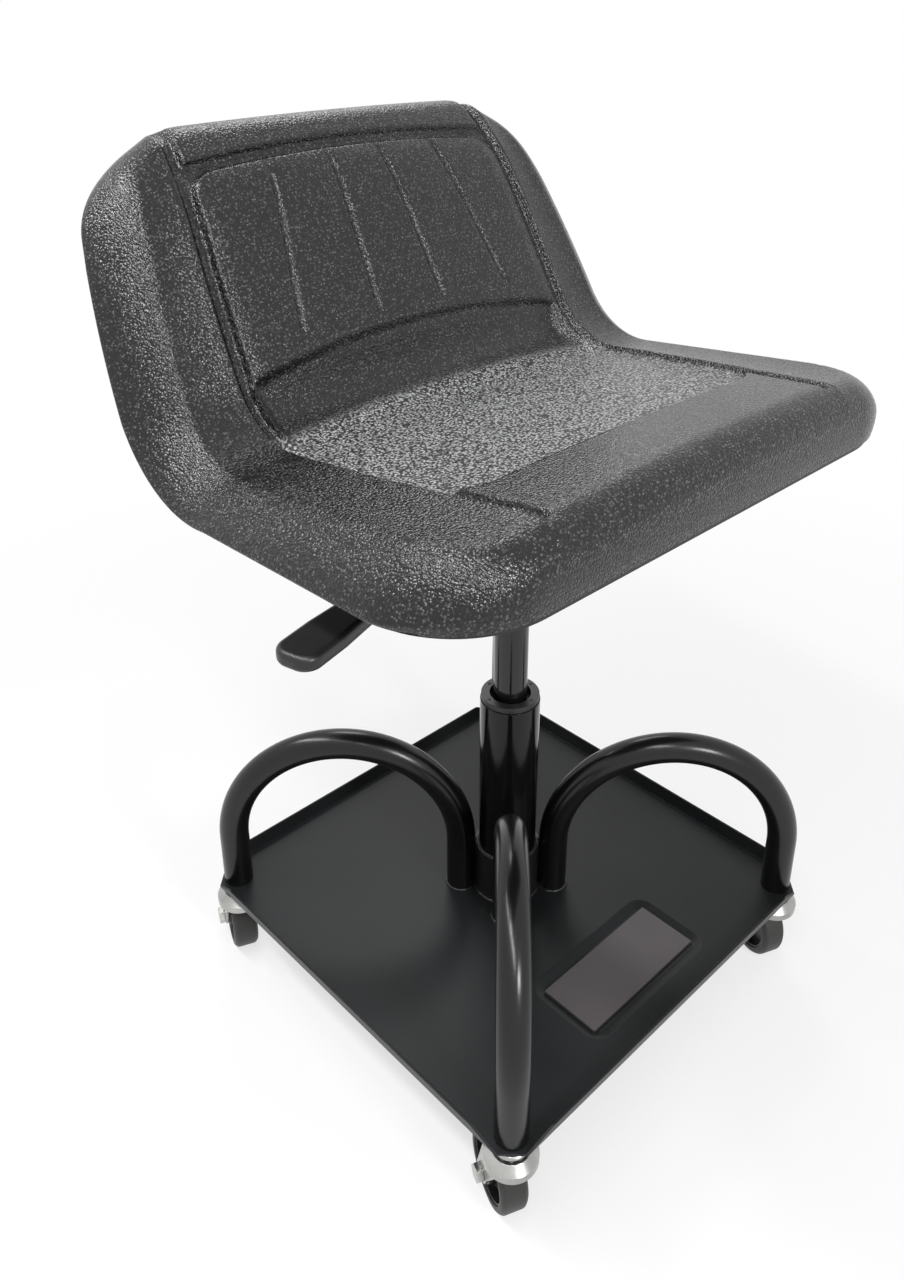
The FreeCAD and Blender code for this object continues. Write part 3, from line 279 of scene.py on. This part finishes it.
def weld_bead(shape, x, y, level, radius, thick):
    """Add a rippled ring of weld round an upright tube, in millimetres."""
    upright = Matrix.Translation(Vector((x + radius, y, level)) * MM) @ Matrix.Rotation(pi / 2, 4, "X")
    start = bmesh.ops.create_circle(shape, segments=8, radius=thick * MM, matrix=upright)["verts"]
    edges = list({edge for vert in start for edge in vert.link_edges})
    before = set(shape.verts) - set(start)
    bmesh.ops.spin(shape, geom=start + edges, cent=Vector((x, y, level)) * MM, axis=(0, 0, 1), angle=2 * pi,
                   steps=72, use_merge=True)
    for vert in set(shape.verts) - before:
        turn = atan2(vert.co.y - y * MM, vert.co.x - x * MM)
        middle = Vector((x + radius * cos(turn), y + radius * sin(turn), level)) * MM
        vert.co = middle + (vert.co - middle) * (1 + RIPPLE * sin(round(radius * RIPPLES_PER_MM) * turn))


beads = bmesh.new()
sleeve_low, sleeve_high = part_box("hub_sleeve")
sleeve_foot, sleeve_top, sleeve_radius = sleeve_low.z / MM, sleeve_high.z / MM, sleeve_high.x / MM
column_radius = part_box("outer_column")[1].x / MM
weld_bead(beads, 0, 0, sleeve_top, column_radius + 1.0, BEAD)
weld_bead(beads, 0, 0, sleeve_foot + 0.4, sleeve_radius + 0.5, FOOT_BEAD)
for corner, (left, rear) in CORNERS.items():
    leg_low, leg_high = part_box("hoop_" + corner)
    leg_place = min(abs(leg_low.x), abs(leg_high.x)) / MM + HOOP_RADIUS
    weld_bead(beads, left * leg_place, rear * leg_place, sleeve_foot + 0.3, HOOP_RADIUS + 0.4, BEAD)
bmesh.ops.recalc_face_normals(beads, faces=beads.faces)
for face in beads.faces:
    face.smooth = True
welds = stood("hub_welds", beads, hub_coat)
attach(welds, "base")


# Guide bushing
# A sleeve of moulded black plastic, pressed into the column's mouth, with a flange on top of it.
# Four small plain triangles stand on the flange, and look darker and glossier than the plastic.

MARK_RADIUS, MARK_PLACE, MARK_THICK = 2.1, 20.6, 0.4

bushing_plastic = coated("bushing_plastic", (0.016, 0.016, 0.017), (0.024, 0.024, 0.025), 0.42,
                         grain=1100, bump=0.02)
softened("guide_bushing", "base", bushing_plastic, 0.4)
marks = bmesh.new()
flange_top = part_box("guide_bushing")[1].z
for angle in (102, 168, -12, -78):
    place = Matrix.Rotation(radians(angle), 4, "Z") @ Matrix.Translation((MARK_PLACE * MM, 0, flange_top))
    bmesh.ops.create_cone(marks, cap_ends=True, segments=3, radius1=MARK_RADIUS * MM,
                          radius2=MARK_RADIUS * MM, depth=MARK_THICK * MM, matrix=place)
arrows = stood("bushing_marks", marks, gloss_black)
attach(arrows, "base")


# Gas lift
# The lift tube is drawn steel in black enamel, and slides in the bushing.
# Rod, races, balls, clip and release pin are bright ground steel; the piston and the rod guide are moulded.

def dress(finish, *names):
    """Give one finish to whole CAD nodes."""
    for name in names:
        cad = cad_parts[name].data
        cad.materials.clear()
        cad.materials.append(finish)


lift_enamel = coated("lift_tube_enamel", (0.006, 0.006, 0.006), (0.010, 0.010, 0.010), 0.14,
                     grain=600, bump=0.01)
ground_steel = coated("ground_steel", (0.42, 0.42, 0.43), (0.55, 0.55, 0.56), 0.25,
                      grain=900, bump=0.01, metal=1.0)
dress(lift_enamel, "lift_tube")
dress(ground_steel, "piston_rod", "release_pin", "upper_thrust_race", "lower_thrust_race",
      "thrust_balls", "rod_clip")
dress(bushing_plastic, "piston", "rod_guide")


# Hoops
# Four inverted U legs bent from one inch steel tube, from the hub to the corners, in glossy powder coat.
# A threaded plug of zinc plated steel in each outer foot takes the caster's stem.

hoop_coat = coated("hoop_coat", (0.004, 0.004, 0.0045), (0.008, 0.008, 0.0085), 0.24,
                   grain=1200, bump=0.015, sheen=0.40)
zinc = coated("zinc_plate", (0.34, 0.34, 0.33), (0.52, 0.52, 0.50), 0.30,
              grain=700, bump=0.02, metal=1.0, patch=40)
dress(hoop_coat, *("hoop_" + corner for corner in CORNERS))
dress(zinc, "hoop_plugs")


# Casters
# Stems, cups, balls and pressed forks of zinc plated steel; each fork swivels under its corner.
# A moulded black wheel with a dark rubber tyre turns in it, on a bolt with a sleeve.

hub_plastic = coated("wheel_plastic", (0.012, 0.012, 0.012), (0.020, 0.020, 0.020), 0.33,
                     grain=900, bump=0.02)
tyre_rubber = coated("tyre_rubber", (0.018, 0.017, 0.016), (0.030, 0.028, 0.027), 0.5, grain=800, bump=0.05)
dress(zinc, "caster_balls")
softened("caster_stems", "base", zinc, 0.35)
softened("caster_cups", "base", zinc, 0.5)
for corner in CORNERS:
    dress(zinc, "caster_sleeve_" + corner)
    softened("caster_fork_" + corner, "caster_" + corner, zinc, 0.6)
    softened("caster_axle_" + corner, "caster_" + corner, zinc, 0.5)
    softened("caster_hub_" + corner, "wheel_" + corner, hub_plastic, 0.5)
    softened("caster_tyre_" + corner, "wheel_" + corner, tyre_rubber, 1.2)


# Seat cushion
# One thick moulded cushion of self-skinned foam with a pebbled charcoal skin, cast round its steel pan.
# It is laid out flat with its gutters, panel and flutes, and is then bent to the side profile.

SEAT_HALF, FRONT_REACH, FRONT_HEIGHT, SEAT_SLOPE = 244.0, 182.0, 571.0, radians(6.3)
FLAT_RUN, BEND_RADIUS, BACK_RUN, CURL_RADIUS = 226.5, 62.0, 105.0, 230.0
BEND_RUN, CURL_RUN = BEND_RADIUS * radians(67.3), CURL_RADIUS * radians(25)
SEAT_RUN = FLAT_RUN + BEND_RUN + BACK_RUN + CURL_RUN
FRONT_DEPTH, MIDDLE_DEPTH, BACK_DEPTH, TOP_NARROWING = 49, 33, 39, 42
FRONT_CORNER, TOP_CORNER, FRONT_LIP, SIDE_LIP = 73.0, 75.0, 24.0, 34
GUTTER_LINE, GUTTER_BOW, GUTTER_HALF, GUTTER_DEPTH, GUTTER_EDGE = 147, 17, 4.5, 5.0, 12.5
SQUARE_PART = 0.55


def ease(value, start, end):
    """A smooth rise from nought at the start to one at the end."""
    share = min(1.0, max(0.0, (value - start) / (end - start)))
    return share * share * (3 - 2 * share)


def rounding(distance, radius):
    """How much a rounded end has yet to widen at a distance from its tip."""
    if distance >= radius:
        return 0.0
    return radius - sqrt(max(0.0, radius ** 2 - (radius - distance) ** 2))


def cushion_depth(run):
    """Thickness of the side profile: thick at the front lip, thin at the bend, thicker up the back."""
    front = FRONT_DEPTH + (MIDDLE_DEPTH - FRONT_DEPTH) * min(1.0, run / FLAT_RUN)
    return front + (BACK_DEPTH - MIDDLE_DEPTH) * min(1.0, max(0.0, (run - FLAT_RUN) / BEND_RUN))


def narrowing(run):
    """How much narrower each side of the back is than the seat."""
    return TOP_NARROWING * max(0.0, (run - FLAT_RUN) / (SEAT_RUN - FLAT_RUN)) ** 2


def plan_half(run, inset=0.0):
    """Half width before the back's narrowing, with the rounded corners."""
    return (SEAT_HALF - inset - rounding(max(0.0, run - inset), FRONT_CORNER - inset)
            - rounding(max(0.0, SEAT_RUN - run - inset), TOP_CORNER - inset))


def gutter_line(run):
    """Middle of the moulded gutter between the shoulder and the middle of the seat."""
    free = GUTTER_LINE + GUTTER_BOW * sin(pi * run / SEAT_RUN)
    return min(free, plan_half(run) - narrowing(run) - GUTTER_EDGE)


def plan_spot(across, along, inset=0.0):
    """Where a point of the square grid (-1 to 1 both ways) lies on the flat cushion, as (across, run)."""
    half, middle = SEAT_HALF - inset, SEAT_RUN / 2
    reach = middle - inset
    ring = max(abs(across), abs(along))
    x, y = across * half, along * reach
    if ring > SQUARE_PART:
        corner = (FRONT_CORNER if along < 0 else TOP_CORNER) - inset
        edge_x, edge_y = abs(x / ring), abs(y / ring)
        free_x, free_y = half - corner, reach - corner
        if edge_x > free_x and edge_y > free_y:
            angle = atan2(edge_y - free_y, edge_x - free_x)
            edge_x, edge_y = free_x + corner * cos(angle), free_y + corner * sin(angle)
        share = ease(ring, SQUARE_PART, 1.0)
        x += share * (ring * edge_x * (1 if x > 0 else -1) - x)
        y += share * (ring * edge_y * (1 if y > 0 else -1) - y)
    run = middle + y
    gutter, width = gutter_line(run), plan_half(run, inset)
    if abs(x) <= GUTTER_LINE or width <= GUTTER_LINE + 1:
        x *= gutter / GUTTER_LINE
    else:
        out = gutter + (abs(x) - GUTTER_LINE) * (width - narrowing(run) - gutter) / (width - GUTTER_LINE)
        x = out if x > 0 else -out
    return x, run


def rounded_gap(side, end, corner):
    """How far a spot lies inside a side and an end that meet in a rounded corner."""
    if side < corner and end < corner:
        return corner - hypot(corner - side, corner - end)
    return min(side, end)


PANEL_FRONT, PANEL_CORNER = 78, 30


def panel_gap(across, run):
    """How far a spot lies inside the sunk seat panel, with its rounded front corners."""
    side = gutter_line(run) + (GUTTER_HALF - 1) - abs(across)
    return rounded_gap(side, run - PANEL_FRONT, PANEL_CORNER)


ARCH_RUN, ARCH_CHORD, ARCH_RISE = 299, 158.0, 17.0


def arch_run(across):
    """The arched lower edge of the back pad."""
    radius = (ARCH_CHORD ** 2 + ARCH_RISE ** 2) / (2 * ARCH_RISE)
    return ARCH_RUN + ARCH_RISE - radius + sqrt(max(0.0, radius ** 2 - across ** 2))


HEADER_RUN, HEADER_BOW, HEADER_HALF = 456, 7, 140
PAD_TOP, PAD_CORNER, ROLL_FOOT = 4, 20, 3


def header_run(across):
    """Middle of the bowed channel between the back pad and the top roll."""
    return HEADER_RUN + HEADER_BOW * (1 - (across / HEADER_HALF) ** 2)


def pad_gap(across, run):
    """How far a spot lies inside the back pad, with its rounded top corners."""
    side = gutter_line(run) - (GUTTER_HALF + 1) - abs(across)
    return rounded_gap(side, header_run(across) - PAD_TOP - run, PAD_CORNER)


OUTER_WALL, INNER_WALL, PANEL_WALL = (-1.2, 4.2), (-2.2, 1.0), (-0.4, 2.2)
PAD_WALL, ROLL_WALL, ARCH_WALL, TOP_FADE = (-0.6, 3.6), (-0.6, 3.4), (-7.0, 1.6), (3, 12)
GUTTER_START, PANEL_END, PANEL_FADE, BACK_START = (15, 24), (232, 254), (240, 262), 286
DIP_SPAN, DIP_DEPTH, DIP_SIDE, DIP_SLOPE = (222, 322), 9, 1.8, 0.85
OVERHANG_SPAN, OVERHANG = (262, 300), 1.5
PAD_CROWN_SPAN, PAD_CROWN, MIDDLE_CROWN = (0, 14), 1.4, 3
FLUTES, FLUTE_START, FLUTE_SPAN = ((33, 25), (105, 81)), 321, 126
FLUTE_RADIUS, FLUTE_DEPTH, FLUTE_FOOT, FLUTE_HEAD = 3.2, 1.7, 325, 9


def relief(across, run):
    """Height over the plain face: gutters and a sunk panel, with the back pad and the top roll standing up."""
    inner, outer = gutter_line(run) - GUTTER_HALF, gutter_line(run) + GUTTER_HALF
    side = abs(across)
    outer_wall = ease(outer - side, *OUTER_WALL)
    ribbon = outer_wall * ease(side - inner, *INNER_WALL)
    sunk = max(ribbon * ease(run, *GUTTER_START), ease(panel_gap(across, run), *PANEL_WALL))
    panel = -GUTTER_DEPTH * sunk
    dip = GUTTER_DEPTH * (1 - ease(run, *PANEL_FADE)) + DIP_DEPTH * sin(pi * ease(run, *DIP_SPAN)) ** 2
    dip += OVERHANG * ease(run, *OVERHANG_SPAN)
    bend = -GUTTER_DEPTH * ribbon - min(dip, DIP_SLOPE * max(0.0, inner - DIP_SIDE - side))
    height = panel + (bend - panel) * ease(run, *PANEL_END)
    if run > BACK_START:
        roll = min(inner - 1 - side, run - header_run(across) - ROLL_FOOT)
        raised = max(ease(pad_gap(across, run), *PAD_WALL), ease(roll, *ROLL_WALL))
        back = -GUTTER_DEPTH * outer_wall * (1 - raised) * ease(SEAT_RUN - run, *TOP_FADE)
        back += PAD_CROWN * ease(pad_gap(across, run), *PAD_CROWN_SPAN)
        height += (back - height) * ease(run - arch_run(across), *ARCH_WALL)
    for low, high in FLUTES:
        track = low + (high - low) * min(1.0, max(0.0, (run - FLUTE_START) / FLUTE_SPAN))
        gap = hypot(side - track, max(0.0, FLUTE_FOOT - run, run - header_run(across) + FLUTE_HEAD))
        if gap < FLUTE_RADIUS:
            height -= FLUTE_DEPTH * (1 - (gap / FLUTE_RADIUS) ** 2)
    return height + MIDDLE_CROWN * max(0.0, 1 - (side / inner) ** 2)


def outline_gap(across, run):
    """Distance in from the rounded outline, and how much that edge is an end rather than a side."""
    half, radius, end = SEAT_HALF - narrowing(run), FRONT_CORNER, run
    if run > SEAT_RUN / 2:
        radius, end = TOP_CORNER, SEAT_RUN - run
    past_side, past_end = abs(across) - half + radius, radius - end
    if past_side > 0 and past_end > 0:
        return max(0.0, radius - hypot(past_side, past_end)), ease(atan2(past_end, past_side), 0, pi / 2)
    if past_end > 0:
        return max(0.0, end), 1.0
    return max(0.0, half - abs(across)), 0.0


SHOULDER_FALL, SHOULDER_DISH = 4, 5


def cushion_height(across, run):
    """Height of the skin over the side profile, with the dished shoulders and the rolled edges."""
    depth, outer = cushion_depth(run), gutter_line(run) + GUTTER_HALF
    height = relief(across, run)
    if abs(across) > outer:
        shoulder = max(1.0, SEAT_HALF - narrowing(run) - SIDE_LIP - outer)
        share = min(1.0, (abs(across) - outer) / shoulder)
        height -= SHOULDER_FALL * share + SHOULDER_DISH * share * (1 - share)
    inward, end = outline_gap(across, run)
    reach = SIDE_LIP + (FRONT_LIP - SIDE_LIP) * end
    if inward < reach:
        fall = (depth - 7) * (1 - end) + FRONT_LIP * end
        turn = 1 - ((reach - inward) / reach) ** (1.25 + 0.75 * end)
        height -= fall * (1 - max(0.0, turn) ** (0.8 - 0.3 * end))
    return height


def bent(across, run, height):
    """A spot of the flat cushion on the side profile: flat seat, tight bend, straight back, backward curl."""
    slope, y, z = -SEAT_SLOPE, -FRONT_REACH, FRONT_HEIGHT
    for length, curve in (
            (FLAT_RUN, 0), (BEND_RUN, 1 / BEND_RADIUS), (BACK_RUN, 0), (SEAT_RUN, -1 / CURL_RADIUS)):
        step = min(run, length)
        if curve:
            y, z = y - sin(slope) / curve, z + cos(slope) / curve
            slope += curve * step
            y, z = y + sin(slope) / curve, z - cos(slope) / curve
        else:
            y, z = y + cos(slope) * step, z + sin(slope) * step
        run -= step
        if run <= 0:
            break
    return Vector((across, y - sin(slope) * height, z + cos(slope) * height)) * MM


def stations(*stretches):
    """Places along a line: each stretch (start, end, gap) is divided evenly by about its gap."""
    places = []
    for start, end, gap in stretches:
        count = max(1, round((end - start) / gap))
        places += [start + (end - start) * step / count for step in range(count)]
    return places


SIDE_ROLL, SIDE_STEPS, LIP_STEPS = 30, 14, 9

side_start = SEAT_HALF - SIDE_ROLL
right_side = stations((0, 20, 4), (20, 38, 1.2), (38, 76, 4), (76, 110, 1.2), (110, 138, 2),
                      (138, 155, 0.85), (155, 200, 4), (200, side_start, 1.6))
right_side += [side_start + SIDE_ROLL * sin(pi / 2 * step / SIDE_STEPS) for step in range(SIDE_STEPS + 1)]
columns = [-place / SEAT_HALF for place in reversed(right_side[1:])]
columns += [place / SEAT_HALF for place in right_side]
rolled = [FRONT_LIP * (1 - cos(pi / 2 * step / LIP_STEPS)) for step in range(LIP_STEPS)]
rows = rolled + stations((FRONT_LIP, 64, 3), (64, 112, 1.6), (112, 226, 6), (226, 286, 3), (286, 324, 1.1),
                         (324, 424, 5), (424, 478, 1.2), (478, SEAT_RUN - FRONT_LIP, 3))
rows += [SEAT_RUN - FRONT_LIP] + [SEAT_RUN - place for place in reversed(rolled)]
rows = [2 * place / SEAT_RUN - 1 for place in rows]

FOOT, LEDGE, HOLLOW, UNDER_RINGS = 4, 5, 6, 12
FOOT_INSET, LEDGE_INSET, HOLLOW_INSET, HOLLOW_RISE, UNDER_MIDDLE = 3, 5.3, 5.8, 6, 250
COARSE_END, COARSE_BOW, COARSE_FADE = 246, 10, 12

shell = bmesh.new()
bmesh.ops.create_grid(shell, x_segments=len(columns) - 1, y_segments=len(rows) - 1, size=1)
for vert in shell.verts:
    column = round((vert.co.x + 1) / 2 * (len(columns) - 1))
    row = round((vert.co.y + 1) / 2 * (len(rows) - 1))
    vert.co = (columns[column], rows[row], 0)
loop = [edge for edge in shell.edges if edge.is_boundary]
for level in range(1, HOLLOW + UNDER_RINGS + 1):
    made = bmesh.ops.extrude_edge_only(shell, edges=loop)["geom"]
    for vert in made:
        if isinstance(vert, bmesh.types.BMVert):
            vert.co.z = level
    loop = [edge for edge in made if isinstance(edge, bmesh.types.BMEdge)]
# Mask of the sunk panel: where its coarser grain is, and where its painted sheen goes.
coarse_and_sheen = shell.verts.layers.float.new("coarse_and_sheen")
for vert in shell.verts:
    across, along, level = vert.co.x, vert.co.y, round(vert.co.z)
    if level == 0:
        x, run = plan_spot(across, along)
        end = COARSE_END + COARSE_BOW * cos(x / 100)
        vert[coarse_and_sheen] = ease(panel_gap(x, run), 0, 3) * (1 - ease(run, end, end + COARSE_FADE))
        vert.co = bent(x, run, cushion_height(x, run))
    elif level <= FOOT:
        x, run = plan_spot(across, along)
        top, foot = cushion_height(x, run), -cushion_depth(run)
        share = level / FOOT
        x, run = plan_spot(across, along, FOOT_INSET * share * share)
        vert.co = bent(x, run, top + (foot - top) * share)
    elif level == LEDGE:
        x, run = plan_spot(across, along, LEDGE_INSET)
        vert.co = bent(x, run, -cushion_depth(run))
    else:
        x, run = plan_spot(across, along, HOLLOW_INSET)
        share = 1 - (level - HOLLOW) / UNDER_RINGS
        x, run = x * share, UNDER_MIDDLE + (run - UNDER_MIDDLE) * share
        vert.co = bent(x, run, HOLLOW_RISE - cushion_depth(run))
bmesh.ops.remove_doubles(shell, verts=shell.verts, dist=MERGE_GAP / 2)
bmesh.ops.recalc_face_normals(shell, faces=shell.faces)
for face in shell.faces:
    face.smooth = True

skin, tree, shader = new_finish("seat_skin")
shader.inputs["Specular IOR Level"].default_value = 0.5
where = tree.nodes.new("ShaderNodeTexCoord").outputs["Object"]


def pebbled(scale, wobble, soft):
    """Rounded pebbles of about one over the scale, with their edges pushed about by a little noise."""
    shifted = tree.nodes.new("ShaderNodeVectorMath")
    shifted.operation = "MULTIPLY_ADD"
    shifted.inputs[1].default_value = (wobble / scale,) * 3
    tree.links.new(clouded(tree, where, scale * 0.6).outputs["Color"], shifted.inputs[0])
    tree.links.new(where, shifted.inputs[2])
    pattern = tree.nodes.new("ShaderNodeTexVoronoi")
    pattern.feature = "SMOOTH_F1"
    pattern.inputs["Scale"].default_value = scale
    pattern.inputs["Smoothness"].default_value = soft
    tree.links.new(shifted.outputs["Vector"], pattern.inputs["Vector"])
    return pattern


PEBBLE_HEIGHT, COARSE_HEIGHT, COARSE_DULLER = 0.45, 1.8, 0.2
SHINE_PATCH, SHINE_DETAIL = 14, 4
# The near-black pebble valleys are painted shade. The light grey panel tops are partly the panel's coarse
# grain and partly a painted sheen.
VALLEY_SHADE, COARSE_TOPS_AND_SHEEN = (0.003, 0.003, 0.0035, 1), (0.55, 0.555, 0.56, 1)

region = tree.nodes.new("ShaderNodeAttribute")
region.attribute_name = "coarse_and_sheen"
in_panel = region.outputs["Fac"]
fine = pebbled(600, 1.0, 0.25)
rough = pebbled(480, 1.3, 0.12)
pebbles = mixed(tree, "FLOAT", in_panel, fine.outputs["Distance"], rough.outputs["Distance"])
height = worked(tree, "MULTIPLY", pebbles, ranged(tree, in_panel, 1.0, COARSE_HEIGHT))
bumped(tree, shader, height, PEBBLE_HEIGHT * MM, invert=True)
# Painted highlight: a share of the pebble tops gets a lighter colour, standing in for the lamps' glints on the
# skin.
painted_glints = ranged(tree, fine.outputs["Color"], 0.002, 0.14, 0.45, 0.85)
# On the panel the pebble tops turn light grey: coarse grain, partly painted sheen.
tops = mixed(tree, "RGBA", in_panel, painted_glints, COARSE_TOPS_AND_SHEEN)
# Painted shade: the colour falls to near black in the valleys between the pebbles.
valley_shade = ranged(tree, pebbles, 0.0, 1.0, 0.15, 0.60)
tree.links.new(mixed(tree, "RGBA", valley_shade, tops, VALLEY_SHADE), shader.inputs["Base Color"])
gloss = ranged(tree, clouded(tree, where, SHINE_PATCH, SHINE_DETAIL).outputs["Fac"], 0.15, 0.24)
tree.links.new(worked(tree, "MULTIPLY_ADD", in_panel, COARSE_DULLER, gloss), shader.inputs["Roughness"])
cushion = stood("seat_cushion", shell, skin)
cushion.data.set_sharp_from_angle(angle=radians(60))
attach(cushion, "seat")
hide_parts("seat_cover", "seat_foam")


# Seat pan, bracket and fasteners
# A pressed steel pan closes the cushion's underside, and its raised pad takes four bolts with weld nuts.
# They hold a welded box of black coated steel, with the taper socket that sits on the lift tube's cone.

pan_coat = coated("pan_coat", (0.012, 0.012, 0.012), (0.018, 0.018, 0.018), 0.4, grain=1300, bump=0.04)
bracket_coat = coated("bracket_coat", (0.011, 0.011, 0.012), (0.018, 0.018, 0.019), 0.35,
                      grain=1200, bump=0.05)
dress(pan_coat, "seat_pan")
dress(bracket_coat, "lever_bracket", "taper_socket")
softened("lift_bracket", "seat", bracket_coat, 0.5)
dress(zinc, "seat_bolts", "seat_washers", "seat_weld_nuts", "lever_pivot_pin")


# Height lever
# A black coated steel rod turns on a pin in the bracket and presses the gas lift's release pin.
# A moulded black plastic paddle is pushed over its outer end, to pull it by.

rod_coat = coated("lever_rod_coat", (0.012, 0.012, 0.012), (0.018, 0.018, 0.018), 0.3,
                  grain=1200, bump=0.03)
grip_plastic = coated("grip_plastic", (0.011, 0.011, 0.011), (0.018, 0.018, 0.018), 0.36,
                      grain=1500, bump=0.05)
dress(rod_coat, "lever_rod")
dress(grip_plastic, "lever_grip")


bpy.context.scene.view_settings.view_transform = "Standard"
low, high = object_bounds()
